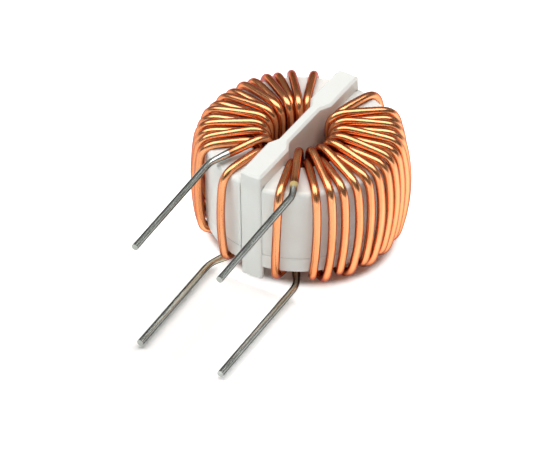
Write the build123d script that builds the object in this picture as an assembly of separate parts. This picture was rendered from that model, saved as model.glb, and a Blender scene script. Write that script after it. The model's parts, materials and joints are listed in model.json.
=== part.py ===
from build123d import *
import os
from math import asin, ceil, cos, degrees, floor, pi, radians, sin, tan

# A two-winding toroidal inductor: a ring core sealed in a moulded case, a divider pushed
# down over the case from above, and two coils of enamelled wire whose tinned ends are the leads.
# Millimetres. Z is the axis of the ring, the web of the divider stands on z = 0,
# the divider lies along Y and all four leads leave towards -Y.

# Case
case_radius = 10.0
case_height = 10.6
ring_width = 4.8
outer_wall = 1.1
inner_wall = 0.8
case_floor = 0.9
rim_chamfer = 0.3
base_chamfer = 0.25
lid_height = 1.9
lap_height = 0.9
lap_thickness = 0.3
case_clearance = 0.05

# Core
core_clearance = 0.15

# Divider
divider_thickness = 2.52
web_thickness = 1.22
divider_rise = 1.55
web_taper_start_share = 0.60
web_taper_end_share = 0.83
tongue_depth = 0.7
tongue_lift = 0.7
divider_clearance = 0.05
divider_edge_fillet = 0.3
divider_top_chamfer = 0.25

# Wire and leads
wire_diameter = 0.92
lead_diameter = 0.74
wire_gap = 0.04
board_gap = 0.28
hole_wire_spacing = 0.16
divider_wire_gap = 0.11
outer_bow = 0.5
bend_radius = 1.0
lead_reach = 25.3
lead_bend_radius = 2.0
top_lead_lift = 0.2
overrun = 1.0

# Turns lie in two layers inside the hole and in one layer outside it
layer_drop_share = 1.0
layer_rise_share = 1.02
dip_share = 0.16
front_place_count = 2
wire_sides = 8

# Angles are shares of a half circle, counted from the front
bend_step_share = 0.256
first_turn_shares = {"left": 0.099, "right": 0.109}
row_start_shares = {"left": 0.258, "right": 0.229}
row_end_shares = {"left": 0.797, "right": 0.783}
last_turn_shares = {"left": 0.872, "right": 0.897}
front_lean_shares = {"left": 0.0, "right": 0.016}
added_lean_shares = {"left": 0.030, "right": 0.067}

# Where each lead bends, in shares of the case radius, where the enamel stops on the run before the bend,
# and how far a lead drifts sideways as it runs out
lead_bend_shares = {
    "left_top": (-0.52, -0.95),
    "right_top": (0.51, -0.98),
    "left_bottom": (-0.48, -1.05),
    "right_bottom": (0.50, -1.00),
}
strip_shares = {"left_top": 0.70, "right_top": 0.77, "left_bottom": 0.70, "right_bottom": 0.60}
lead_sway_share = 0.042

# Levels and radii that follow from the sizes above
hole_radius = case_radius - ring_width
wire_radius = wire_diameter / 2
case_bottom = board_gap + 2 * (wire_diameter + wire_gap)
case_top = case_bottom + case_height
seam_level = case_bottom + lid_height
wall_inside = hole_radius + inner_wall
wall_outside = case_radius - outer_wall
tongue_inside = case_radius - tongue_depth
rim_wire_radius = case_radius + wire_radius + wire_gap
wire_level_top = case_top + wire_radius + wire_gap
wire_level_high = case_bottom - wire_radius - wire_gap
wire_level_low = board_gap + wire_radius
layer_radii = (
    hole_radius - wire_radius - wire_gap,
    hole_radius - wire_radius - wire_gap - layer_drop_share * wire_diameter,
)
layer_tops = (wire_level_top, wire_level_top + layer_rise_share * wire_diameter)
lead_levels = {"top": wire_level_top + top_lead_lift, "bottom": wire_level_low}

# Places round the hole for the wire, from the divider at the front to the divider at the back
divider_side = divider_thickness / 2 + divider_wire_gap + wire_radius
first_place_angle = degrees(asin(divider_side / layer_radii[0]))
half_circle = degrees(pi)
place_range = half_circle - 2 * first_place_angle
closest_places = degrees(asin((wire_diameter + hole_wire_spacing) / (2 * layer_radii[1])))
last_place = floor(place_range / closest_places)
place_pitch = place_range / last_place


def ring(inner, outer, bottom, top):
    """A flat ring about Z between two levels."""
    blank = Cylinder(outer, top - bottom) - Cylinder(inner, top - bottom)
    return Pos(0, 0, (bottom + top) / 2) * blank


def bar(width, length, bottom, top):
    """A block centred on Z between two levels."""
    return Pos(0, 0, (bottom + top) / 2) * Box(width, length, top - bottom)


def tongue_channels():
    """The two shallow channels in the outer wall that take the divider's tongues."""
    width = divider_thickness + 2 * divider_clearance
    band = ring(tongue_inside, case_radius + overrun, case_bottom - overrun, case_top + overrun)
    return band & bar(width, 2 * (case_radius + overrun), case_bottom - overrun, case_top + overrun)


def case_cup():
    """The deep upper half of the case, open below, rebated for the lid's lips."""
    lap = lap_thickness + case_clearance
    body = ring(hole_radius, case_radius, seam_level, case_top)
    body = chamfer(body.edges().group_by(Axis.Z)[-1], rim_chamfer)
    body -= ring(wall_inside, wall_outside, seam_level, case_top - case_floor)
    body -= ring(wall_inside - lap, wall_outside + lap, seam_level, seam_level + lap_height + case_clearance)
    return body - tongue_channels()


def case_lid():
    """The shallow lower half of the case, with a lip inside each wall of the cup."""
    body = ring(hole_radius, case_radius, case_bottom, seam_level)
    body = chamfer(body.edges().group_by(Axis.Z)[0], base_chamfer)
    lip_top = seam_level + lap_height
    body += ring(wall_inside - lap_thickness, wall_outside + lap_thickness, seam_level, lip_top)
    body -= ring(wall_inside, wall_outside, case_bottom + case_floor, lip_top)
    return body - tongue_channels()


def core():
    """The magnetic ring, which lies on the floor of the lid."""
    top = case_top - case_floor - core_clearance
    return ring(wall_inside + core_clearance, wall_outside - core_clearance, case_bottom + case_floor, top)


def bone(half_length):
    """The divider seen from above: a thin web that swells to full thickness at both ends."""
    thick = divider_thickness / 2
    thin = web_thickness / 2
    taper_start = web_taper_start_share * hole_radius
    taper_end = web_taper_end_share * hole_radius
    quarter = [(thin, taper_start), (thick, taper_end), (thick, half_length)]
    right = [(x, -y) for x, y in reversed(quarter)] + quarter
    left = [(-x, -y) for x, y in right]
    return make_face(Polyline(*right, *left, close=True))


def divider():
    """One moulding: a bar across the case, a web down the hole and a tongue down each end of the case."""
    top_bar = Pos(0, 0, case_top) * extrude(bone(case_radius), divider_rise)
    top_bar &= Pos(0, 0, case_top) * Cylinder(case_radius, 2 * divider_rise)
    web = extrude(bone(hole_radius), case_top)
    web &= Cylinder(hole_radius - divider_clearance, 2 * case_top)
    tongues = ring(tongue_inside + divider_clearance, case_radius, tongue_lift, case_top)
    tongues &= bar(divider_thickness, 2 * case_radius, tongue_lift, case_top)
    body = top_bar + web + tongues
    outer_corners = [
        edge
        for edge in body.edges().filter_by(Axis.Z)
        if abs(edge.center().Y) > case_radius - divider_thickness / 2 and edge.length > case_height
    ]
    body = fillet(outer_corners, divider_edge_fillet)
    top_face = body.faces().sort_by(Axis.Z)[-1]
    return chamfer(top_face.edges(), divider_top_chamfer)


def polar(side, radius, angle, level):
    """A point at an angle from the front, on the left or the right of the divider."""
    sign = -1 if side == "left" else 1
    return Vector(sign * radius * sin(radians(angle)), -radius * cos(radians(angle)), level)


def hole_point(side, place, level):
    """A point of the wire in the hole. Even places touch the wall, odd ones nest on top of them."""
    return polar(side, layer_radii[place % 2], first_place_angle + place * place_pitch, level)


def turn_angle(side, place):
    """The angle at which the turn from one place in the hole goes over the rim."""
    if place == 0:
        return first_turn_shares[side] * half_circle
    if place == last_place:
        return last_turn_shares[side] * half_circle
    row_pitch = (row_end_shares[side] - row_start_shares[side]) / (last_place - front_place_count - 1)
    return (row_start_shares[side] + (place - front_place_count) * row_pitch) * half_circle


def turn_lean(side, place):
    """The angle by which a turn's foot lies ahead of its top, which grows towards the back."""
    return (front_lean_shares[side] + added_lean_shares[side] * (place / last_place) ** 2) * half_circle


def outside_points(side, place):
    """A turn's way down the outside of the case, bowed at mid-height."""
    angle = turn_angle(side, place)
    lean = turn_lean(side, place)
    middle = (wire_level_top + wire_level_high) / 2
    return [
        polar(side, rim_wire_radius, angle, wire_level_top),
        polar(side, rim_wire_radius + outer_bow, angle - lean / 2, middle),
        polar(side, rim_wire_radius, angle - lean, wire_level_high),
    ]


def dip_point(foot, inner):
    """The point under the case at which a run that passes below the others has left their level."""
    dip = foot + (inner - foot) * dip_share
    return Vector(dip.X, dip.Y, wire_level_low)


def lead_bend(side, end):
    """The point at which a lead turns out of the coil."""
    x_share, y_share = lead_bend_shares[f"{side}_{end}"]
    return Vector(x_share * case_radius, y_share * case_radius, lead_levels[end])


def strip_point(side, end):
    """The point on a coil's last run at which its enamel stops and the tinned lead begins."""
    if end == "top":
        inner = hole_point(side, 1, layer_tops[1])
    else:
        inner = hole_point(side, 0, wire_level_low)
    return inner + (lead_bend(side, end) - inner) * strip_shares[f"{side}_{end}"]


def coil_points(side):
    """Corners of one coil, which goes to the back by the even places and returns by the odd ones."""
    out_and_back = list(range(0, last_place + 1, 2))
    out_and_back += [place for place in range(last_place, 0, -1) if place % 2]
    points = [strip_point(side, "bottom")]
    level = wire_level_low
    for place, following in zip(out_and_back, out_and_back[1:] + [None]):
        points.append(hole_point(side, place, level))
        points.append(hole_point(side, place, layer_tops[place % 2]))
        if following is None:
            points.append(strip_point(side, "top"))
        else:
            points += outside_points(side, place)
            level = wire_level_high
            if following % 2:
                level = wire_level_low
                points.append(dip_point(points[-1], hole_point(side, following, level)))
    return points


def eased(points, radius):
    """A polyline whose sharp corners are cut into a few flats round an arc of the given radius."""
    path = [points[0]]
    for before, corner, after in zip(points, points[1:], points[2:]):
        inward = (corner - before).normalized()
        outward = (after - corner).normalized()
        turn = inward.get_angle(outward)
        axis = inward.cross(outward).normalized()
        side = axis.cross(inward)
        centre = corner - inward * (radius * tan(radians(turn / 2))) + side * radius
        steps = ceil(turn / (bend_step_share * half_circle))
        step = radians(turn / steps)
        for index in range(steps):
            angle = step * (index + 1 / 2)
            path.append(centre + (inward * sin(angle) - side * cos(angle)) * (radius / cos(step / 2)))
    return path + [points[-1]]


def winding(side):
    """One coil of enamelled wire, a many-sided bar mitred at each bend."""
    path = Polyline(*eased(coil_points(side), bend_radius))
    section = Plane(origin=path @ 0, z_dir=path % 0) * RegularPolygon(wire_radius, wire_sides)
    return sweep(section, path=path, transition=Transition.RIGHT)


def lead(side, end):
    """A tinned lead: the bare end of the wire, bent to run straight out at the front."""
    start = strip_point(side, end)
    bend = lead_bend(side, end)
    straight = lead_reach + bend.Y
    tip = bend + Vector(straight * lead_sway_share, -straight, 0)
    path = FilletPolyline(start, bend, tip, radius=lead_bend_radius)
    return sweep(Plane(origin=path @ 0, z_dir=path % 0) * Circle(lead_diameter / 2), path=path)


pieces = {
    "core": core(),
    "case_cup": case_cup(),
    "case_lid": case_lid(),
    "divider": divider(),
}
for side in ("left", "right"):
    pieces[f"winding_{side}"] = winding(side)
    for end in ("top", "bottom"):
        pieces[f"lead_{side}_{end}"] = lead(side, end)

os.makedirs("parts", exist_ok=True)
for name, piece in pieces.items():
    export_step(piece, f"parts/{name}.step")
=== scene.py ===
import json
import random
from math import asin, cos, floor, pi, radians, sin

import bmesh
import bpy
from bpy.props import FloatProperty, FloatVectorProperty, IntProperty, PointerProperty
from mathutils import Matrix, Vector


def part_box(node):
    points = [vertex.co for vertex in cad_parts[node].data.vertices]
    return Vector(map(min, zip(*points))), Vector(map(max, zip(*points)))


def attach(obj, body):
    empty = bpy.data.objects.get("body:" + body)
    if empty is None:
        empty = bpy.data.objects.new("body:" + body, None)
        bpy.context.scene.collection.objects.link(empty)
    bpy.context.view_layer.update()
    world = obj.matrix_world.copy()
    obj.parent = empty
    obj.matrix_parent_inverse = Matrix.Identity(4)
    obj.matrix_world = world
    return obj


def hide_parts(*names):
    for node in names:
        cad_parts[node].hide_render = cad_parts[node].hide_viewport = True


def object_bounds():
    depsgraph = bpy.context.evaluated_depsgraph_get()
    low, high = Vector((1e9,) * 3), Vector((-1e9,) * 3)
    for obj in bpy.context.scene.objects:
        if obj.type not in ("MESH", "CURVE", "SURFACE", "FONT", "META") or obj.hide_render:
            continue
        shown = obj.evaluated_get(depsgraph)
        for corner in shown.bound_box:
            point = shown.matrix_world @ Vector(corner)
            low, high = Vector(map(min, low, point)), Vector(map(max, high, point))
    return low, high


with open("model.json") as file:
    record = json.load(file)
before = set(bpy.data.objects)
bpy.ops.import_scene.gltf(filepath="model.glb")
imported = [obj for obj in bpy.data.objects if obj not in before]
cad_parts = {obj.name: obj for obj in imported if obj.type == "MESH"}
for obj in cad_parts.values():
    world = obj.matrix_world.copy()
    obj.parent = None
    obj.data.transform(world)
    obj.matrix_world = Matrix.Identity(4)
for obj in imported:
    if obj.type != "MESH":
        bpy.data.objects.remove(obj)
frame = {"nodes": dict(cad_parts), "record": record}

bl_info = {
    "name": "Toroidal Inductor",
    "version": (1, 0, 0),
    "blender": (4, 5, 0),
    "location": "View3D > Sidebar > Inductor",
    "description": "Winds, dresses and lights a toroidal inductor with two coils",
    "category": "Object",
}

MM = 0.001
BODY = "root"
SIDES = ("left", "right")
ENDS = ("top", "bottom")
WHITE = (1.0, 1.0, 1.0)

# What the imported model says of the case, the divider and the leads
CAD_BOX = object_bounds()
CUP_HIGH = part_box("case_cup")[1]
LID_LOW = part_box("case_lid")[0]
DIVIDER_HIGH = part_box("divider")[1]
PINS = {mount["name"]: mount for mount in frame["record"]["mounts"] if mount["kind"] == "pin"}

# Where turns go down the outside of the case, in shares of a half circle from the front
FIRST_TURN_SHARES = {"left": 0.099, "right": 0.109}
ROW_START_SHARES = {"left": 0.258, "right": 0.229}
ROW_END_SHARES = {"left": 0.797, "right": 0.783}
LAST_TURN_SHARES = {"left": 0.872, "right": 0.897}

# How far the middle of each row is pushed to the back, and how far a foot lies ahead of its top
# at the front and, on top of that, at the back, in the same shares
ROW_PUSH_SHARES = {"left": -0.012, "right": 0.014}
FRONT_LEAN_SHARES = {"left": 0.0, "right": 0.016}
ADDED_LEAN_SHARES = {"left": 0.030, "right": 0.067}

# Where each lead bends, in shares of the case radius
LEAD_BEND_SHARES = {
    "left_top": (-0.52, -0.95),
    "right_top": (0.51, -0.98),
    "left_bottom": (-0.48, -1.05),
    "right_bottom": (0.495, -0.89),
}

# How much of each coil's last run keeps its enamel
STRIP_SHARES = {"left_top": 0.70, "right_top": 0.77, "left_bottom": 0.70, "right_bottom": 0.60}

# How much flux was left on each lead where its enamel stops, and how much it stained the tin beyond
FLUX_SHARES = {"left_top": 0.0, "right_top": 1.0, "left_bottom": 0.35, "right_bottom": 0.2}
STAIN_SHARES = {"left_top": 0.0, "right_top": 0.0, "left_bottom": 0.75, "right_bottom": 0.65}


# Settings

def amount(name, description, default, **options):
    """A number that isn't negative."""
    return FloatProperty(name=name, description=description, default=default, min=0.0, **options)


def amounts(name, description, default, **options):
    """A list of such numbers."""
    return FloatVectorProperty(
        name=name, description=description, default=default, size=len(default), min=0.0, **options
    )


def length(name, description, default):
    """A size in metres."""
    return amount(name, description, default, precision=5, unit="LENGTH")


def lengths(name, description, default):
    """Two distances in metres, the shorter one first."""
    return amounts(name, description, default, precision=5, unit="LENGTH")


def share(name, description, default):
    """A part of a whole."""
    return amount(name, description, default, max=1.0, subtype="FACTOR")


def shares(name, description, default):
    """The two ends of a range of shares."""
    return amounts(name, description, default, max=1.0)


def colour(name, description, default):
    """A colour of a surface, in linear values."""
    return amounts(name, description, default, max=1.0, subtype="COLOR")


def angle(name, description, default):
    """An angle, given in degrees and kept in radians."""
    return FloatProperty(name=name, description=description, default=radians(default), unit="ROTATION")


def count(name, description, default):
    """A whole number."""
    return IntProperty(name=name, description=description, default=default, min=0)


class CoilSettings(bpy.types.PropertyGroup):
    """Sizes and finish of the two coils."""

    wire_diameter: length("Wire diameter", "Diameter of the wire with its enamel", 0.92 * MM)
    wire_gap: length("Wire gap", "Clearance between the wire and what it lies on", 0.04 * MM)
    ring_width: length("Ring width", "Width of the case from its hole to its outside", 4.8 * MM)
    hole_spacing: length("Hole spacing", "Room between wires of one layer in the hole", 0.16 * MM)
    divider_gap: length("Divider gap", "Room between the divider and the first wire", 0.11 * MM)
    bend_radius: length("Bend radius", "Radius of the wire's axis in the hole and under the case", 1.0 * MM)
    mouth_lean: length("Mouth lean", "How far a wire leans to the axis where it enters the hole", 0.45 * MM)
    mouth_radius: length("Mouth radius", "Radius of the wire's axis where it goes down the hole", 1.45 * MM)
    shoulder_radius: length("Shoulder radius", "Radius of the wire's axis over the upper rim", 1.8 * MM)
    shoulder_drop: length("Shoulder drop", "How far the wire sinks from the case's top to its rim", 0.15 * MM)
    outer_bow: length("Outer bow", "How far a turn stands off the case at mid-height", 0.65 * MM)
    top_arch: length("Top arch", "How far a turn rises off the top of the case", 0.05 * MM)
    layer_drop: amount("Layer drop", "Step between the two layers in the hole, in wire diameters", 1.0)
    layer_rise: amount("Layer rise", "Rise of the second layer over the rim, in wire diameters", 1.02)
    dip: share("Dip", "Part of a lower run under the case in which it leaves the level of the others", 0.16)
    turn_stray: angle("Turn stray", "How far a hand-laid turn strays from even spacing", 0.5)
    bow_stray: share("Bow stray", "How much the bow differs from turn to turn", 0.3)
    front_places: count("Front places", "Places in the hole before the even row of turns", 2)
    seed: count("Seed", "Start of the random draws for the turns", 7)
    copper: colour("Copper", "Colour of the wire under clear enamel", (0.96, 0.41, 0.185))
    deep_copper: colour("Deep copper", "Colour where the enamel is thicker", (0.92, 0.325, 0.115))
    # Slant colour of the copper: partly the enamel's own deeper tint at a slant, partly painted shade on each
    # wire's outline and in the gaps between wires
    slant_and_shade_copper: colour("Edge copper", "Colour where the enamel is seen at a slant", (0.47, 0.09, 0.02))
    rim_tint: colour("Rim tint", "Tint of what the wire mirrors along its outline", (0.34, 0.18, 0.10))
    scorched: colour("Scorched enamel", "Colour of the enamel beside a stripped end", (0.30, 0.09, 0.03))
    scorch: share("Scorch", "How much of that colour shows at the very end", 0.75)
    scorch_range: lengths("Scorch range", "Distances from the end where it fades", (0.15 * MM, 1.1 * MM))
    line_scale: amount("Line scale", "How close the drawn lines lie around the wire", 4.0)
    run_scale: amount("Run scale", "How often those lines change in a metre of wire", 260.0)
    patch_scale: amount("Patch scale", "How many patches of thicker enamel there are in a metre", 160.0)
    patch_range: shares("Patch range", "Noise levels between which the colour deepens", (0.35, 0.70))
    patch_depth: share("Patch depth", "How much of the deep colour shows in a patch", 0.55)
    slant_range: shares("Slant range", "Slants between which the edge colour sets in", (0.25, 0.74))
    metallic: share("Metallic", "How much the wire mirrors as bare metal does", 0.92)
    roughness: shares("Roughness", "Least and greatest roughness of the wire", (0.21, 0.30))
    coat: share("Coat", "Strength of the gloss on the enamel", 0.35)
    coat_roughness: share("Coat roughness", "Roughness of that gloss", 0.10)
    coat_index: amount("Coat index", "Index of refraction of the enamel", 1.5)
    relief: share("Relief", "Strength of the drawn lines as relief", 0.25)
    relief_depth: length("Relief depth", "Depth of that relief", 0.01 * MM)


class LeadSettings(bpy.types.PropertyGroup):
    """Sizes and finish of the tinned leads."""

    bend_radius: length("Bend radius", "Radius of the axis where an upper lead turns to the front", 2.0 * MM)
    low_bend_radius: length("Low bend radius", "The same radius of a lower lead", 3.6 * MM)
    collar: share("Collar", "How much solder thickens the lead where the enamel stops", 0.22)
    collar_length: length("Collar length", "Length over which that solder thins out", 1.6 * MM)
    ripple: share("Ripple", "How much the thickness of the tin varies", 0.035)
    ripple_scale: amount("Ripple scale", "How often it does so in a metre", 900.0)
    tin: colour("Tin", "Colour of the dipped tin", (0.72, 0.76, 0.715))
    dull_tin: colour("Dull tin", "Colour of the tin where it is dull", (0.56, 0.595, 0.55))
    # Painted shade: a near-black slant colour stands in for the dark reflection along each lead's outline
    tin_edge_shade: colour("Edge tin", "Colour of the tin seen at a slant", (0.05, 0.055, 0.05))
    flux: colour("Flux", "Colour of hardened flux", (0.62, 0.47, 0.19))
    flux_range: lengths("Flux range", "Distances from the enamel where it ends", (0.35 * MM, 1.0 * MM))
    flux_metallic: share("Flux metallic", "How much the flux mirrors as bare metal does", 0.1)
    stain: colour("Stain", "Colour of tin under a thin film of flux", (0.56, 0.49, 0.34))
    stain_range: lengths("Stain range", "Distances from the enamel where it fades", (3.0 * MM, 12.0 * MM))
    line_scale: amount("Line scale", "How close the drawn lines lie around the lead", 3.0)
    run_scale: amount("Run scale", "How often those lines change in a metre of wire", 500.0)
    patch_scale: amount("Patch scale", "How many dull patches there are in a metre", 420.0)
    patch_range: shares("Patch range", "Noise levels between which the tin goes dull", (0.40, 0.68))
    slant_range: shares("Slant range", "Slants between which the edge colour sets in", (0.26, 0.50))
    metallic: share("Metallic", "How much the tin mirrors as bare metal does", 0.84)
    roughness: shares("Roughness", "Least and greatest roughness of the tin", (0.16, 0.30))
    relief: share("Relief", "Strength of the lines and patches as relief", 0.35)
    relief_depth: length("Relief depth", "Depth of that relief", 0.02 * MM)


class PlasticSettings(bpy.types.PropertyGroup):
    """Finish of the moulded pieces."""

    edge_round: length("Edge round", "Rounding of the cup's edges", 0.13 * MM)
    divider_round: length("Divider round", "Rounding of the divider's edges", 0.065 * MM)
    seam_round: length("Seam round", "Rounding of the lid, whose seam hardly shows", 0.05 * MM)
    plastic: colour("Plastic", "Colour of the moulded plastic", (0.845, 0.864, 0.838))
    shaded_plastic: colour("Shaded plastic", "Colour of its thinner, greyer patches", (0.815, 0.834, 0.802))
    broad_scale: amount("Broad scale", "How many such patches there are in a metre", 120.0)
    patch_range: shares("Patch range", "Noise levels between which the plastic goes grey", (0.35, 0.75))
    fine_scale: amount("Fine scale", "How many grains there are in a metre", 4000.0)
    roughness: shares("Roughness", "Least and greatest roughness of the plastic", (0.42, 0.56))
    gloss: share("Gloss", "Strength of what the plastic mirrors", 0.4)
    bleed: share("Bleed", "How much of its light comes from under the surface", 0.3)
    bleed_depth: length("Bleed depth", "How deep that light goes", 0.6 * MM)
    bleed_tint: colour("Bleed tint", "Depth for red, green and blue, in shares of it", (1.0, 0.9, 0.8))
    relief: share("Relief", "Strength of the grain as relief", 0.12)
    relief_depth: length("Relief depth", "Depth of that relief", 0.02 * MM)


class CoreSettings(bpy.types.PropertyGroup):
    """Finish of the core."""

    ferrite: colour("Ferrite", "Colour of the sintered core", (0.055, 0.055, 0.06))
    fleck: colour("Fleck", "Colour of the paler grains in the core", (0.10, 0.098, 0.095))
    broad_scale: amount("Broad scale", "How often the gloss changes in a metre", 300.0)
    fine_scale: amount("Fine scale", "How many grains there are in a metre", 6000.0)
    fleck_range: shares("Fleck range", "Noise levels between which a grain goes pale", (0.45, 0.75))
    roughness: shares("Roughness", "Least and greatest roughness of the core", (0.6, 0.8))
    relief: share("Relief", "Strength of the grain as relief", 0.3)
    relief_depth: length("Relief depth", "Depth of that relief", 0.03 * MM)


class StudioSettings(bpy.types.PropertyGroup):
    """Camera, lamps, room and floor."""

    azimuth: angle("Azimuth", "Turn of the camera from the front towards the right", 32.1)
    elevation: angle("Elevation", "Height of the camera above the horizon", 39.4)
    roll: angle("Roll", "Turn of the picture about its middle", -0.9)
    distance: length("Distance", "From the camera to the middle of the picture", 1.176)
    focal_length: amount("Focal length", "Of a camera with a 36 mm sensor, in millimetres", 743.1)
    right_offset: length("Right offset", "How far right of the picture's middle the origin lies", 3.272 * MM)
    down_offset: length("Down offset", "How far below the picture's middle the origin lies", 0.40 * MM)
    key_radiance: amount("Key light", "Brightness of the softbox overhead", 3.4)
    fill_radiance: amount("Fill light", "Brightness of the low softbox at the front", 1.14)
    sky_dark: colour("Dark sky", "Brightness of the room on the camera's side", (0.05, 0.05, 0.05))
    sky_back: colour("Back sky", "Brightness of the room behind the object", (0.14, 0.14, 0.14))
    back_range: shares("Back range", "Cosines to the line of sight between which it sets in", (0.0, 0.5))
    horizon_low: angle("Horizon low", "Height up to which the room is white", 3.0)
    horizon_high: angle("Horizon high", "Height from which it is dark", 12.0)
    floor_colour: colour("Floor", "Colour of the floor", (0.97, 0.97, 0.97))
    floor_roughness: share("Floor roughness", "Roughness of the floor", 0.9)
    floor_glow: share("Floor glow", "Light added to the floor as it is seen, to make it white", 0.20)
    front_end: length("Front end", "Distance in front of the axis at which that light has faded", 17.0 * MM)
    right_start: length("Right start", "Distance to the right of the axis from which it stays", 3.0 * MM)
    # Painted light: this glow lightens the object's shadow beside and behind it, and the front glow lightens
    # it near the part and on the right
    margin_glow: share("Margin glow", "More such light beside and behind the part", 0.55)
    margin_start: length("Margin start", "Distance from the axis at which that light sets in", 9.6 * MM)
    margin_end: length("Margin end", "Distance from the axis at which it is full", 11.0 * MM)
    margin_stretch: amount("Margin stretch", "How much sooner that happens at the front than beside", 1.16)


# Node helpers

def free_socket(sockets, key):
    """A socket by its place, or the first one in use with a given name."""
    if isinstance(key, int):
        return sockets[key]
    return next(socket for socket in sockets if socket.name == key and socket.enabled)


class NodeDesk:
    """Adds nodes to one tree and joins them by the names of their sockets."""

    spacing = 190

    def __init__(self, tree):
        self.tree = tree

    def add(self, kind, inputs=None, **settings):
        """A new node with its settings, its inputs given as values or as sockets to join."""
        node = self.tree.nodes.new(kind)
        node.location.x = self.spacing * len(self.tree.nodes)
        for name, value in settings.items():
            setattr(node, name, value)
        for key, value in (inputs or {}).items():
            self.feed(free_socket(node.inputs, key), value)
        return node

    def feed(self, socket, value):
        """Joins a socket to another, or sets its value."""
        if isinstance(value, bpy.types.NodeSocket):
            self.tree.links.new(value, socket)
        else:
            socket.default_value = value

    def math(self, operation, *values):
        """The result of one sum."""
        return self.add("ShaderNodeMath", dict(enumerate(values)), operation=operation).outputs[0]

    def vector_math(self, operation, *values, result="Vector"):
        """The result of one sum of vectors."""
        node = self.add("ShaderNodeVectorMath", dict(enumerate(values)), operation=operation)
        return node.outputs[result]

    def fade(self, value, start, end, first=0.0, last=1.0):
        """A smooth change from one number to another as a value goes from start to end."""
        inputs = {"Value": value, "From Min": start, "From Max": end, "To Min": first, "To Max": last}
        return self.add("ShaderNodeMapRange", inputs, interpolation_type="SMOOTHSTEP").outputs[0]

    def noise(self, vector, scale, detail=2.0, roughness=0.5):
        """Smooth noise from 0 to 1."""
        inputs = {"Vector": vector, "Scale": scale, "Detail": detail, "Roughness": roughness}
        return self.add("ShaderNodeTexNoise", inputs).outputs[0]

    def attribute(self, name, result="Fac"):
        """A value that is stored on the mesh."""
        return self.add("ShaderNodeAttribute", attribute_name=name).outputs[result]

    def blend_colours(self, mask, first, second):
        """One colour where the mask is 0, another where it is 1."""
        node = self.add("ShaderNodeMix", {"Factor": mask, "A": first, "B": second}, data_type="RGBA")
        return free_socket(node.outputs, "Result")

    def store(self, geometry, name, value, data_type="FLOAT"):
        """Geometry with one more value on its points."""
        inputs = {"Geometry": geometry, "Name": name, "Value": value}
        node = self.add("GeometryNodeStoreNamedAttribute", inputs, data_type=data_type, domain="POINT")
        return node.outputs[0]


def opaque(rgb):
    """A colour with full alpha, as colour sockets hold it."""
    return (*rgb, 1.0)


def group_of(name, make):
    """A node group, built the first time that it is asked for."""
    return bpy.data.node_groups.get(name) or make(name)


# The wire, swept along its corners

WIRE_INPUTS = {
    "NodeSocketGeometry": ("Corners",),
    "NodeSocketInt": ("Bend Steps", "Ease Passes", "Sides"),
    "NodeSocketFloat": (
        "Wire Radius", "Spacing", "Collar", "Collar Length", "Ripple", "Ripple Scale", "Flux", "Stain"
    ),
    "NodeSocketMaterial": ("Material",),
}

# How finely the coils and the leads are swept
COIL_SWEEP = {"Bend Steps": 8, "Spacing": 0.22 * MM, "Ease Passes": 6, "Sides": 16}
LEAD_SWEEP = {"Bend Steps": 10, "Spacing": 0.12 * MM, "Ease Passes": 6, "Sides": 24}

# A wire without a collar, ripple, flux or stain
PLAIN_WIRE = {
    "Collar": 0.0,
    "Collar Length": 1.0 * MM,
    "Ripple": 0.0,
    "Ripple Scale": 1.0,
    "Flux": 0.0,
    "Stain": 0.0,
}

# Points at each end that keep their place, the middle of a noise, and the most corners of a face on the wall
HELD_POINTS = 2
NOISE_MIDDLE = 0.5
WALL_CORNERS = 4


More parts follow.
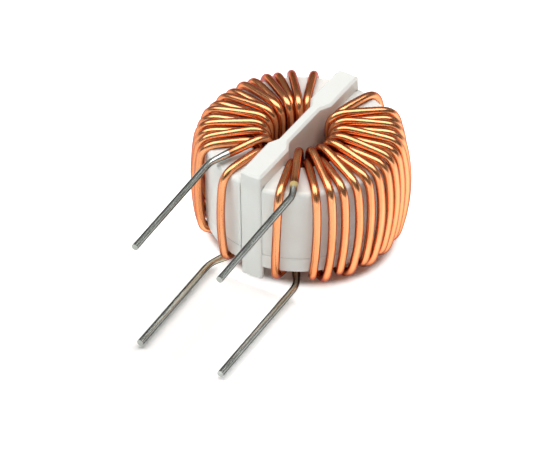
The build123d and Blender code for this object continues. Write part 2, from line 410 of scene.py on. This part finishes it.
def wire_tree(name):
    """Rounds the corners of a path, eases it and sweeps a round wire along it."""
    tree = bpy.data.node_groups.new(name, "GeometryNodeTree")
    for kind, sockets in WIRE_INPUTS.items():
        for socket in sockets:
            tree.interface.new_socket(socket, in_out="INPUT", socket_type=kind)
    tree.interface.new_socket("Wire", in_out="OUTPUT", socket_type="NodeSocketGeometry")
    desk = NodeDesk(tree)
    given = desk.add("NodeGroupInput").outputs
    position = desk.add("GeometryNodeInputPosition").outputs[0]

    curve = desk.add("GeometryNodeMeshToCurve", {"Mesh": given["Corners"]}).outputs[0]
    bend = desk.add("GeometryNodeInputNamedAttribute", {"Name": "bend"}, data_type="FLOAT")
    fillet_inputs = {
        "Curve": curve,
        "Count": given["Bend Steps"],
        "Radius": free_socket(bend.outputs, "Attribute"),
        "Limit Radius": True,
    }
    rounded = desk.add("GeometryNodeFilletCurve", fillet_inputs, mode="POLY").outputs[0]
    even_inputs = {"Curve": rounded, "Length": given["Spacing"]}
    even = desk.add("GeometryNodeResampleCurve", even_inputs, mode="LENGTH").outputs[0]

    end_sizes = {"Start Size": HELD_POINTS, "End Size": HELD_POINTS}
    ends = desk.add("GeometryNodeCurveEndpointSelection", end_sizes).outputs[0]
    blur_inputs = {
        "Value": position,
        "Iterations": given["Ease Passes"],
        "Weight": desk.math("SUBTRACT", 1.0, ends),
    }
    blur = desk.add("GeometryNodeBlurAttribute", blur_inputs, data_type="FLOAT_VECTOR")
    eased_inputs = {"Geometry": even, "Position": free_socket(blur.outputs, "Value")}
    marked = desk.add("GeometryNodeSetPosition", eased_inputs).outputs[0]

    along = desk.add("GeometryNodeSplineParameter").outputs["Length"]
    whole = desk.add("GeometryNodeSplineLength").outputs["Length"]
    from_end = desk.math("MINIMUM", along, desk.math("SUBTRACT", whole, along))
    marks = {"along": along, "from_end": from_end, "flux": given["Flux"], "stain": given["Stain"]}
    for mark, value in marks.items():
        marked = desk.store(marked, mark, value)

    circle_inputs = {"Resolution": given["Sides"], "Radius": given["Wire Radius"]}
    circle = desk.add("GeometryNodeCurvePrimitiveCircle", circle_inputs, mode="RADIUS").outputs[0]
    around = desk.vector_math("NORMALIZE", position)
    collar = desk.fade(along, 0.0, given["Collar Length"], given["Collar"], 0.0)
    wave = desk.math("SUBTRACT", desk.noise(position, given["Ripple Scale"]), NOISE_MIDDLE)
    swell = desk.math("ADD", collar, desk.math("MULTIPLY", wave, given["Ripple"]))
    sweep_inputs = {
        "Curve": marked,
        "Profile Curve": desk.store(circle, "around", around, "FLOAT_VECTOR"),
        "Scale": desk.math("ADD", 1.0, swell),
        "Fill Caps": True,
    }
    tube = desk.add("GeometryNodeCurveToMesh", sweep_inputs).outputs[0]

    corner_count = desk.add("GeometryNodeInputMeshFaceNeighbors").outputs["Vertex Count"]
    wall_inputs = {"A": corner_count, "B": WALL_CORNERS}
    is_wall = desk.add("FunctionNodeCompare", wall_inputs, data_type="INT", operation="LESS_EQUAL")
    smooth_inputs = {"Geometry": tube, "Shade Smooth": is_wall.outputs[0]}
    smooth = desk.add("GeometryNodeSetShadeSmooth", smooth_inputs).outputs[0]
    real = desk.add("GeometryNodeRealizeInstances", {"Geometry": smooth}).outputs[0]
    paint_inputs = {"Geometry": real, "Material": given["Material"]}
    painted = desk.add("GeometryNodeSetMaterial", paint_inputs).outputs[0]
    desk.add("NodeGroupOutput", {"Wire": painted})
    return tree


def swept_wire(name, corners, values):
    """A plain mesh of wire along a list of corners, each with its bend radius."""
    tree = group_of("Wire along corners", wire_tree)
    points = [point for point, _ in corners]
    edges = [(index, index + 1) for index in range(len(corners) - 1)]
    mesh = bpy.data.meshes.new(f"{name}_corners")
    mesh.from_pydata(points, edges, [])
    bend = mesh.attributes.new("bend", "FLOAT", "POINT")
    bend.data.foreach_set("value", [radius for _, radius in corners])
    piece = bpy.data.objects.new(name, mesh)
    bpy.context.scene.collection.objects.link(piece)
    modifier = piece.modifiers.new("Wire", "NODES")
    modifier.node_group = tree
    identifiers = {item.name: item.identifier for item in tree.interface.items_tree if item.in_out == "INPUT"}
    for key, value in values.items():
        modifier[identifiers[key]] = value
    settle(piece)
    return piece


def settle(piece):
    """Turns what a piece's modifiers make into its own plain mesh."""
    depsgraph = bpy.context.evaluated_depsgraph_get()
    made = bpy.data.meshes.new_from_object(
        piece.evaluated_get(depsgraph), preserve_all_data_layers=True, depsgraph=depsgraph
    )
    if not made.polygons:
        raise RuntimeError(f"{piece.name} came out empty")
    made.name = piece.name
    piece.modifiers.clear()
    old = piece.data
    piece.data = made
    bpy.data.meshes.remove(old)


def hand_over(piece, node):
    """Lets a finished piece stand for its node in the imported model."""
    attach(piece, BODY)
    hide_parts(node)


# The winding rule

OUTSIDE_STEPS = 8


class WindingRule:
    """Where the wire of both coils runs, worked out from the case and the wire."""

    def __init__(self, coil):
        self.coil = coil
        radius = coil.wire_diameter / 2
        self.case_radius = CUP_HIGH.x
        hole_radius = self.case_radius - coil.ring_width
        wall_radius = hole_radius - radius - coil.wire_gap
        self.layer_radii = (wall_radius, wall_radius - coil.layer_drop * coil.wire_diameter)
        self.rim_radius = self.case_radius + radius + coil.wire_gap
        self.top_level = CUP_HIGH.z + radius + coil.wire_gap
        self.high_level = LID_LOW.z - radius - coil.wire_gap
        self.low_level = self.high_level - coil.wire_diameter - coil.wire_gap
        self.layer_tops = (self.top_level, self.top_level + coil.layer_rise * coil.wire_diameter)
        self.set_places(DIVIDER_HIGH.x + coil.divider_gap + radius)

    def set_places(self, divider_side):
        """Shares out the hole's half circle between the wires of both layers."""
        self.first_angle = asin(divider_side / self.layer_radii[0])
        room = pi - 2 * self.first_angle
        step = self.coil.wire_diameter + self.coil.hole_spacing
        self.last_place = floor(room / asin(step / (2 * self.layer_radii[1])))
        self.pitch = room / self.last_place

    def polar(self, side, radius, turn, level):
        """A point at an angle from the front, on one side of the divider."""
        sign = -1 if side == "left" else 1
        return Vector((sign * radius * sin(turn), -radius * cos(turn), level))

    def hole_point(self, side, place, level):
        """A point of the wire in the hole, at the wall in even places and nested in odd ones."""
        return self.polar(side, self.layer_radii[place % 2], self.first_angle + place * self.pitch, level)

    def mouth_point(self, side, place):
        """The corner at which the wire goes from the top of the case into the hole."""
        radius = self.layer_radii[place % 2] - self.coil.mouth_lean
        return self.polar(side, radius, self.first_angle + place * self.pitch, self.layer_tops[place % 2])

    def turn_angle(self, side, place):
        """The angle at which the turn from one place goes down the outside."""
        if place == 0:
            return FIRST_TURN_SHARES[side] * pi
        if place == self.last_place:
            return LAST_TURN_SHARES[side] * pi
        done = (place - self.coil.front_places) / (self.last_place - self.coil.front_places - 1)
        even = ROW_START_SHARES[side] + (ROW_END_SHARES[side] - ROW_START_SHARES[side]) * done
        return (even + ROW_PUSH_SHARES[side] * sin(pi * done)) * pi

    def turn_lean(self, side, place):
        """The angle by which a turn's foot lies ahead of its top."""
        return (FRONT_LEAN_SHARES[side] + ADDED_LEAN_SHARES[side] * (place / self.last_place) ** 2) * pi

    def over_the_top(self, start, end):
        """A point at the top of the gentle arch between the hole and the outside."""
        return (start + end) / 2 + Vector((0.0, 0.0, self.coil.top_arch))

    def outside_run(self, side, turn, lean, bow):
        """A turn's way down the outside of the case, bowed and leaning more and more."""
        points = []
        start_level = self.top_level - self.coil.shoulder_drop
        for index in range(OUTSIDE_STEPS + 1):
            down = index / OUTSIDE_STEPS
            # 0 at both ends of the run and 1 at mid-height
            bulge = 4 * down * (1 - down)
            level = start_level + (self.high_level - start_level) * down
            points.append(self.polar(side, self.rim_radius + bow * bulge, turn - lean * down ** 2, level))
        return points

    def dip_point(self, foot, inner):
        """The point at which a lower run under the case has left the level of the others."""
        dip = foot.lerp(inner, self.coil.dip)
        return Vector((dip.x, dip.y, self.low_level))

    def lead_bend(self, side, end):
        """The corner at which a lead turns out of its coil."""
        x_share, y_share = LEAD_BEND_SHARES[f"{side}_{end}"]
        level = PINS[f"lead_{side}_{end}"]["pos_m"][2]
        return Vector((x_share * self.case_radius, y_share * self.case_radius, level))

    def strip_point(self, side, end):
        """The point at which the enamel stops and the tinned lead begins."""
        if end == "top":
            inner = self.mouth_point(side, 1)
        else:
            inner = self.hole_point(side, 0, self.low_level)
        return inner.lerp(self.lead_bend(side, end), STRIP_SHARES[f"{side}_{end}"])

    def coil_corners(self, side):
        """Corners and bend radii of one coil, which goes back by even places and returns by odd ones."""
        draw = random.Random(self.coil.seed + SIDES.index(side))
        order = list(range(0, self.last_place + 1, 2))
        order += [place for place in range(self.last_place, 0, -1) if place % 2]
        usual = self.coil.bend_radius
        corners = [(self.strip_point(side, "bottom"), usual)]
        level = self.low_level
        for place, following in zip(order, order[1:] + [None]):
            over = self.mouth_point(side, place)
            corners += [(self.hole_point(side, place, level), usual), (over, self.coil.mouth_radius)]
            if following is None:
                corners.append((self.strip_point(side, "top"), usual))
                continue
            turn = self.turn_angle(side, place) + self.coil.turn_stray * draw.uniform(-1, 1)
            bow = self.coil.outer_bow * (1 + self.coil.bow_stray * draw.uniform(-1, 1))
            run = self.outside_run(side, turn, self.turn_lean(side, place), bow)
            corners += [(self.over_the_top(over, run[0]), usual), (run[0], self.coil.shoulder_radius)]
            corners += [(point, usual) for point in run[1:]]
            level = self.high_level
            if following % 2:
                level = self.low_level
                corners.append((self.dip_point(run[-1], self.hole_point(side, following, level)), usual))
        return corners

    def lead_corners(self, side, end, bend_radius):
        """Start, bend and tip of one lead, with their bend radii."""
        pin = PINS[f"lead_{side}_{end}"]
        half = pin["dims"]["length_mm"] * MM / 2
        tip = Vector(pin["pos_m"]) + Vector(pin["axis"]) * half
        points = (self.strip_point(side, end), self.lead_bend(side, end), tip)
        return [(point, bend_radius) for point in points]


# Finishes

# The range in which most values of a noise lie
NOISE_RANGE = (0.3, 0.7)


def shader_group(name, inputs, outputs):
    """An empty shader group with named sockets, its desk and its input sockets."""
    group = bpy.data.node_groups.new(name, "ShaderNodeTree")
    for in_out, sockets in (("INPUT", inputs), ("OUTPUT", outputs)):
        for socket in sockets:
            group.interface.new_socket(socket, in_out=in_out, socket_type="NodeSocketFloat")
    desk = NodeDesk(group)
    return group, desk, desk.add("NodeGroupInput").outputs


def drawn_wire_group(name):
    """Fine lines left along a wire by the die, and slow changes from turn to turn."""
    group, desk, given = shader_group(name, ("Line Scale", "Run Scale", "Patch Scale"), ("Lines", "Patches"))
    scaled = desk.vector_math("SCALE", desk.attribute("around", "Vector"))
    desk.feed(free_socket(scaled.node.inputs, "Scale"), given["Line Scale"])
    travel = desk.math("MULTIPLY", desk.attribute("along"), given["Run Scale"])
    run = desk.add("ShaderNodeCombineXYZ", {"Z": travel}).outputs[0]
    lines = desk.noise(desk.vector_math("ADD", scaled, run), scale=1.0, detail=4.0, roughness=0.6)
    place = desk.add("ShaderNodeTexCoord").outputs["Object"]
    patches = desk.noise(place, given["Patch Scale"])
    desk.add("NodeGroupOutput", {"Lines": lines, "Patches": patches})
    return group


def moulded_grain_group(name):
    """Broad unevenness and fine grain over a solid, in object space."""
    group, desk, given = shader_group(name, ("Broad Scale", "Fine Scale"), ("Broad", "Fine"))
    place = desk.add("ShaderNodeTexCoord").outputs["Object"]
    broad = desk.noise(place, given["Broad Scale"], detail=3.0, roughness=0.55)
    fine = desk.noise(place, given["Fine Scale"], detail=3.0, roughness=0.6)
    desk.add("NodeGroupOutput", {"Broad": broad, "Fine": fine})
    return group


def drawn_wire(desk, settings):
    """Places the lines and patches of a drawn wire in a material."""
    node = desk.add("ShaderNodeGroup", node_tree=group_of("Drawn wire", drawn_wire_group))
    node.inputs["Line Scale"].default_value = settings.line_scale
    node.inputs["Run Scale"].default_value = settings.run_scale
    node.inputs["Patch Scale"].default_value = settings.patch_scale
    return node.outputs


def moulded_grain(desk, settings):
    """Places the broad and the fine grain in a material."""
    node = desk.add("ShaderNodeGroup", node_tree=group_of("Broad and fine grain", moulded_grain_group))
    node.inputs["Broad Scale"].default_value = settings.broad_scale
    node.inputs["Fine Scale"].default_value = settings.fine_scale
    return node.outputs


def new_material(name):
    """A material with its desk and its Principled shader."""
    material = bpy.data.materials.new(name)
    material.use_nodes = True
    desk = NodeDesk(material.node_tree)
    return material, desk, material.node_tree.nodes["Principled BSDF"]


def bump(desk, shader, height, settings):
    """Raises a surface by a height from 0 to 1."""
    inputs = {"Height": height, "Strength": settings.relief, "Distance": settings.relief_depth}
    desk.feed(shader.inputs["Normal"], desk.add("ShaderNodeBump", inputs).outputs[0])


def enamelled_copper(coil):
    """Drawn copper under clear enamel, darker where the enamel was burnt off, and deeper at a slant, partly
    as painted shade.
    """
    material, desk, shader = new_material("drawn_copper")
    wire = drawn_wire(desk, coil)
    patch = desk.math("MULTIPLY", desk.fade(wire["Patches"], *coil.patch_range), coil.patch_depth)
    plain = desk.blend_colours(patch, opaque(coil.copper), opaque(coil.deep_copper))
    slant = desk.add("ShaderNodeLayerWeight").outputs["Facing"]
    # Painted shade: the slant colour darkens each wire's outline and the gaps between wires, beyond what the
    # enamel itself does
    edge_shaded = desk.blend_colours(desk.fade(slant, *coil.slant_range), plain, opaque(coil.slant_and_shade_copper))
    burnt = desk.fade(desk.attribute("from_end"), *coil.scorch_range, coil.scorch, 0.0)
    desk.feed(shader.inputs["Base Color"], desk.blend_colours(burnt, edge_shaded, opaque(coil.scorched)))
    desk.feed(shader.inputs["Roughness"], desk.fade(wire["Lines"], *NOISE_RANGE, *coil.roughness))
    shader.inputs["Metallic"].default_value = coil.metallic
    shader.inputs["Specular Tint"].default_value = opaque(coil.rim_tint)
    shader.inputs["Coat Weight"].default_value = coil.coat
    shader.inputs["Coat Roughness"].default_value = coil.coat_roughness
    shader.inputs["Coat IOR"].default_value = coil.coat_index
    bump(desk, shader, wire["Lines"], coil)
    return material


def tinned_copper(lead):
    """Dipped tin with drawn lines, dull patches, some hardened flux and painted shade along its outline."""
    material, desk, shader = new_material("dipped_tin")
    wire = drawn_wire(desk, lead)
    dull = desk.fade(wire["Patches"], *lead.patch_range)
    clean = desk.blend_colours(dull, opaque(lead.tin), opaque(lead.dull_tin))
    along = desk.attribute("along")
    film = desk.math("MULTIPLY", desk.attribute("stain"), desk.fade(along, *lead.stain_range, 1.0, 0.0))
    metal = desk.blend_colours(film, clean, opaque(lead.stain))
    slant = desk.add("ShaderNodeLayerWeight").outputs["Facing"]
    # Painted shade: the tin goes nearly black towards its outline, as a painted dark reflection
    edge_shaded = desk.blend_colours(desk.fade(slant, *lead.slant_range), metal, opaque(lead.tin_edge_shade))
    bead = desk.math("MULTIPLY", desk.attribute("flux"), desk.fade(along, *lead.flux_range, 1.0, 0.0))
    desk.feed(shader.inputs["Base Color"], desk.blend_colours(bead, edge_shaded, opaque(lead.flux)))
    desk.feed(shader.inputs["Metallic"], desk.fade(bead, 0.0, 1.0, lead.metallic, lead.flux_metallic))
    desk.feed(shader.inputs["Roughness"], desk.fade(wire["Lines"], *NOISE_RANGE, *lead.roughness))
    bump(desk, shader, desk.math("ADD", wire["Lines"], wire["Patches"]), lead)
    return material


def white_plastic(plastic):
    """Satin moulded plastic."""
    material, desk, shader = new_material("satin_plastic")
    grain = moulded_grain(desk, plastic)
    patch = desk.fade(grain["Broad"], *plastic.patch_range)
    tone = desk.blend_colours(patch, opaque(plastic.plastic), opaque(plastic.shaded_plastic))
    desk.feed(shader.inputs["Base Color"], tone)
    desk.feed(shader.inputs["Roughness"], desk.fade(grain["Fine"], *NOISE_RANGE, *plastic.roughness))
    shader.inputs["Specular IOR Level"].default_value = plastic.gloss
    shader.inputs["Subsurface Weight"].default_value = plastic.bleed
    shader.inputs["Subsurface Radius"].default_value = plastic.bleed_tint
    shader.inputs["Subsurface Scale"].default_value = plastic.bleed_depth
    bump(desk, shader, grain["Fine"], plastic)
    return material


def sintered_ferrite(core):
    """Dull grey ceramic with paler grains."""
    material, desk, shader = new_material("core_ceramic")
    grain = moulded_grain(desk, core)
    pale = desk.fade(grain["Fine"], *core.fleck_range)
    tone = desk.blend_colours(pale, opaque(core.ferrite), opaque(core.fleck))
    desk.feed(shader.inputs["Base Color"], tone)
    desk.feed(shader.inputs["Roughness"], desk.fade(grain["Broad"], *NOISE_RANGE, *core.roughness))
    bump(desk, shader, grain["Fine"], core)
    return material


def material_of(name, make, settings):
    """A finish, made the first time that it is asked for."""
    return bpy.data.materials.get(name) or make(settings)


# Moulded pieces

MERGE_DISTANCE = 0.0005 * MM
FLAT_ANGLE = radians(1.0)
EDGE_ANGLE = radians(30.0)
EDGE_SEGMENTS = 3


def moulded_piece(node, edge_round, settings):
    """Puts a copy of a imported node, its facets joined and its edges rounded, in the node's place."""
    name = f"moulded_{node}"
    mesh = frame["nodes"][node].data.copy()
    solid = bmesh.new()
    solid.from_mesh(mesh)
    bmesh.ops.remove_doubles(solid, verts=solid.verts, dist=MERGE_DISTANCE)
    bmesh.ops.dissolve_limit(solid, angle_limit=FLAT_ANGLE, verts=solid.verts, edges=solid.edges)
    for face in solid.faces:
        face.smooth = True
    solid.to_mesh(mesh)
    solid.free()
    mesh.materials.clear()
    mesh.materials.append(material_of("satin_plastic", white_plastic, settings))
    piece = bpy.data.objects.new(name, mesh)
    bpy.context.scene.collection.objects.link(piece)
    bevel = piece.modifiers.new("Rounded edges", "BEVEL")
    bevel.width = edge_round
    bevel.segments = EDGE_SEGMENTS
    bevel.limit_method = "ANGLE"
    bevel.angle_limit = EDGE_ANGLE
    normals = piece.modifiers.new("Even shading", "WEIGHTED_NORMAL")
    normals.keep_sharp = True
    settle(piece)
    hand_over(piece, node)


# Operators

class INDUCTOR_OT_core(bpy.types.Operator):
    """Gives the sealed core its ferrite finish"""

    bl_idname = "inductor.core"
    bl_label = "Finish Core"

    def execute(self, context):
        material = material_of("core_ceramic", sintered_ferrite, context.scene.inductor_core)
        frame["nodes"]["core"].material_slots[0].material = material
        return {"FINISHED"}


class INDUCTOR_OT_case(bpy.types.Operator):
    """Makes the two halves of the moulded case"""

    bl_idname = "inductor.case"
    bl_label = "Make Case"

    def execute(self, context):
        plastic = context.scene.inductor_plastic
        moulded_piece("case_cup", plastic.edge_round, plastic)
        moulded_piece("case_lid", plastic.seam_round, plastic)
        return {"FINISHED"}


class INDUCTOR_OT_divider(bpy.types.Operator):
    """Makes the divider between the coils"""

    bl_idname = "inductor.divider"
    bl_label = "Make Divider"

    def execute(self, context):
        plastic = context.scene.inductor_plastic
        moulded_piece("divider", plastic.divider_round, plastic)
        return {"FINISHED"}


class INDUCTOR_OT_windings(bpy.types.Operator):
    """Winds the two coils of enamelled wire"""

    bl_idname = "inductor.windings"
    bl_label = "Wind Coils"

    def execute(self, context):
        coil = context.scene.inductor_coil
        rule = WindingRule(coil)
        values = {
            **COIL_SWEEP,
            **PLAIN_WIRE,
            "Wire Radius": coil.wire_diameter / 2,
            "Material": material_of("drawn_copper", enamelled_copper, coil),
        }
        for side in SIDES:
            piece = swept_wire(f"wound_coil_{side}", rule.coil_corners(side), values)
            hand_over(piece, f"winding_{side}")
        return {"FINISHED"}


class INDUCTOR_OT_leads(bpy.types.Operator):
    """Makes the four tinned leads"""

    bl_idname = "inductor.leads"
    bl_label = "Make Leads"

    def execute(self, context):
        lead = context.scene.inductor_lead
        rule = WindingRule(context.scene.inductor_coil)
        material = material_of("dipped_tin", tinned_copper, lead)
        bend_radii = {"top": lead.bend_radius, "bottom": lead.low_bend_radius}
        for side in SIDES:
            for end in ENDS:
                node = f"lead_{side}_{end}"
                values = {
                    **LEAD_SWEEP,
                    "Wire Radius": PINS[node]["dims"]["r_mm"] * MM,
                    "Collar": lead.collar,
                    "Collar Length": lead.collar_length,
                    "Ripple": lead.ripple,
                    "Ripple Scale": lead.ripple_scale,
                    "Flux": FLUX_SHARES[f"{side}_{end}"],
                    "Stain": STAIN_SHARES[f"{side}_{end}"],
                    "Material": material,
                }
                corners = rule.lead_corners(side, end, bend_radii[end])
                piece = swept_wire(f"tinned_{node}", corners, values)
                hand_over(piece, node)
        return {"FINISHED"}


# Studio

SENSOR_WIDTH = 36.0
CLIP_END = 10.0
FLOOR_RADIUS = 4.0
FLOOR_SEGMENTS = 96
FLOOR_DROP = 0.01 * MM

# Where each softbox stands, by its turn from the camera, its height and its distance, with its size and tint
SOFTBOXES = {
    "key_softbox": {
        "turn": radians(-90.0),
        "elevation": radians(84.0),
        "distance": 0.5,
        "width": 0.38,
        "depth": 1.0,
        "tint": (1.0, 0.98, 0.96),
    },
    "fill_softbox": {
        "turn": radians(-10.0),
        "elevation": radians(9.0),
        "distance": 0.9,
        "width": 1.8,
        "depth": 0.26,
        "tint": (0.87, 1.0, 0.99),
    },
}


def direction(azimuth, elevation):
    """The unit vector from the object towards a place in the studio."""
    return Vector((sin(azimuth) * cos(elevation), -cos(azimuth) * cos(elevation), sin(elevation)))


def add_camera(studio):
    """The camera at the photograph's place, moved sideways without turning."""
    back = direction(studio.azimuth, studio.elevation)
    right = Vector((cos(studio.azimuth), sin(studio.azimuth), 0.0))
    up = back.cross(right)
    turned_right = right * cos(studio.roll) + up * sin(studio.roll)
    turned_up = up * cos(studio.roll) - right * sin(studio.roll)
    middle = turned_up * studio.down_offset - turned_right * studio.right_offset
    data = bpy.data.cameras.new("studio_camera")
    data.sensor_width = SENSOR_WIDTH
    data.lens = studio.focal_length
    data.clip_end = CLIP_END
    camera = bpy.data.objects.new("studio_camera", data)
    turn = Matrix((turned_right, turned_up, back)).transposed().to_4x4()
    camera.matrix_world = Matrix.Translation(middle + back * studio.distance) @ turn
    bpy.context.scene.collection.objects.link(camera)
    bpy.context.scene.camera = camera


def add_softbox(name, azimuth, radiance):
    """A rectangular lamp that faces the object and isn't seen itself."""
    box = SOFTBOXES[name]
    data = bpy.data.lights.new(name, "AREA")
    data.shape = "RECTANGLE"
    data.size = box["width"]
    data.size_y = box["depth"]
    data.energy = radiance * pi * box["width"] * box["depth"]
    data.color = box["tint"]
    lamp = bpy.data.objects.new(name, data)
    towards = direction(azimuth + box["turn"], box["elevation"])
    turn = towards.to_track_quat("Z", "Y").to_matrix().to_4x4()
    lamp.matrix_world = Matrix.Translation(towards * box["distance"]) @ turn
    lamp.visible_camera = False
    bpy.context.scene.collection.objects.link(lamp)


def set_sky(studio):
    """A room that is white along the floor's horizon and dark above it, less so behind the object."""
    world = bpy.data.worlds.new("studio_room")
    world.use_nodes = True
    world.node_tree.nodes.clear()
    desk = NodeDesk(world.node_tree)
    ray = desk.add("ShaderNodeTexCoord").outputs["Generated"]
    height = desk.add("ShaderNodeSeparateXYZ", {0: ray}).outputs["Z"]
    behind = desk.vector_math("DOT_PRODUCT", ray, -direction(studio.azimuth, 0.0), result="Value")
    far = desk.fade(behind, *studio.back_range)
    walls = desk.blend_colours(far, opaque(studio.sky_dark), opaque(studio.sky_back))
    dark = desk.fade(height, sin(studio.horizon_low), sin(studio.horizon_high))
    room = desk.blend_colours(dark, opaque(WHITE), walls)
    background = desk.add("ShaderNodeBackground", {"Color": room, "Strength": 1.0}).outputs[0]
    desk.add("ShaderNodeOutputWorld", {"Surface": background})
    bpy.context.scene.world = world


def glow_by_place(desk, studio):
    """Painted light on the floor that lightens shadow: none under the object, most beside and behind it, and
    less in front.
    """
    place = desk.add("ShaderNodeTexCoord").outputs["Object"]
    stretched = desk.vector_math("MULTIPLY", place, (1.0, studio.margin_stretch, 1.0))
    reach = desk.vector_math("LENGTH", stretched, result="Value")
    parts = desk.add("ShaderNodeSeparateXYZ", {0: place}).outputs
    outside = desk.fade(reach, studio.margin_start, studio.margin_end)
    beside = desk.fade(parts["Y"], -studio.margin_end, -studio.margin_start, 0.0, studio.margin_glow)
    near = desk.fade(parts["Y"], -studio.front_end, -studio.margin_end, 0.0, studio.floor_glow)
    right = desk.fade(parts["X"], 0.0, studio.right_start, 0.0, studio.floor_glow)
    front = desk.math("MAXIMUM", near, right)
    return desk.math("MULTIPLY", outside, desk.math("ADD", front, beside))


def white_floor(studio):
    """Matt white, with some light of its own that is seen but lights nothing."""
    material, desk, shader = new_material("studio_floor")
    shader.inputs["Base Color"].default_value = opaque(studio.floor_colour)
    shader.inputs["Roughness"].default_value = studio.floor_roughness
    shader.inputs["Specular IOR Level"].default_value = 0.0
    shader.inputs["Emission Color"].default_value = opaque(WHITE)
    path = desk.add("ShaderNodeLightPath").outputs
    seen = desk.math("MAXIMUM", path["Is Camera Ray"], path["Is Glossy Ray"])
    seen = desk.math("MAXIMUM", seen, path["Is Transmission Ray"])
    desk.feed(shader.inputs["Emission Strength"], desk.math("MULTIPLY", seen, glow_by_place(desk, studio)))
    return material


def add_floor(studio):
    """A white floor that keeps the object's shadow under it; its painted light lightens the shadow elsewhere,
    least far ahead on the left.
    """
    mesh = bpy.data.meshes.new("studio_floor")
    disc = bmesh.new()
    bmesh.ops.create_circle(disc, cap_ends=True, segments=FLOOR_SEGMENTS, radius=FLOOR_RADIUS)
    bmesh.ops.translate(disc, verts=disc.verts, vec=(0.0, 0.0, CAD_BOX[0].z - FLOOR_DROP))
    disc.to_mesh(mesh)
    disc.free()
    mesh.materials.append(white_floor(studio))
    floor_piece = bpy.data.objects.new("studio_floor", mesh)
    bpy.context.scene.collection.objects.link(floor_piece)


class INDUCTOR_OT_stage(bpy.types.Operator):
    """Sets up the floor, the lamps, the room and the camera"""

    bl_idname = "inductor.stage"
    bl_label = "Set Stage"

    def execute(self, context):
        studio = context.scene.inductor_studio
        add_floor(studio)
        set_sky(studio)
        add_softbox("key_softbox", studio.azimuth, studio.key_radiance)
        add_softbox("fill_softbox", studio.azimuth, studio.fill_radiance)
        add_camera(studio)
        context.scene.view_settings.view_transform = "Standard"
        return {"FINISHED"}


class INDUCTOR_PT_sidebar(bpy.types.Panel):
    """Lists the steps that make the inductor and their settings"""

    bl_idname = "INDUCTOR_PT_sidebar"
    bl_label = "Toroidal Inductor"
    bl_space_type = "VIEW_3D"
    bl_region_type = "UI"
    bl_category = "Inductor"

    def draw(self, context):
        for operator in OPERATORS:
            self.layout.operator(operator.bl_idname)
        for name, group in SETTINGS.items():
            box = self.layout.box()
            settings = getattr(context.scene, name)
            for key in group.__annotations__:
                box.prop(settings, key)


OPERATORS = (
    INDUCTOR_OT_core,
    INDUCTOR_OT_case,
    INDUCTOR_OT_divider,
    INDUCTOR_OT_windings,
    INDUCTOR_OT_leads,
    INDUCTOR_OT_stage,
)
SETTINGS = {
    "inductor_coil": CoilSettings,
    "inductor_lead": LeadSettings,
    "inductor_plastic": PlasticSettings,
    "inductor_core": CoreSettings,
    "inductor_studio": StudioSettings,
}


def register():
    """Adds the settings, the operators and the panel."""
    for name, group in SETTINGS.items():
        bpy.utils.register_class(group)
        setattr(bpy.types.Scene, name, PointerProperty(type=group))
    for operator in OPERATORS:
        bpy.utils.register_class(operator)
    bpy.utils.register_class(INDUCTOR_PT_sidebar)


def unregister():
    """Takes them out again."""
    bpy.utils.unregister_class(INDUCTOR_PT_sidebar)
    for operator in reversed(OPERATORS):
        bpy.utils.unregister_class(operator)
    for name, group in SETTINGS.items():
        delattr(bpy.types.Scene, name)
        bpy.utils.unregister_class(group)


def main():
    """Makes every piece."""
    register()
    bpy.ops.inductor.core()
    bpy.ops.inductor.case()
    bpy.ops.inductor.divider()
    bpy.ops.inductor.windings()
    bpy.ops.inductor.leads()
    bpy.ops.inductor.stage()


if __name__ == "__main__":
    main()
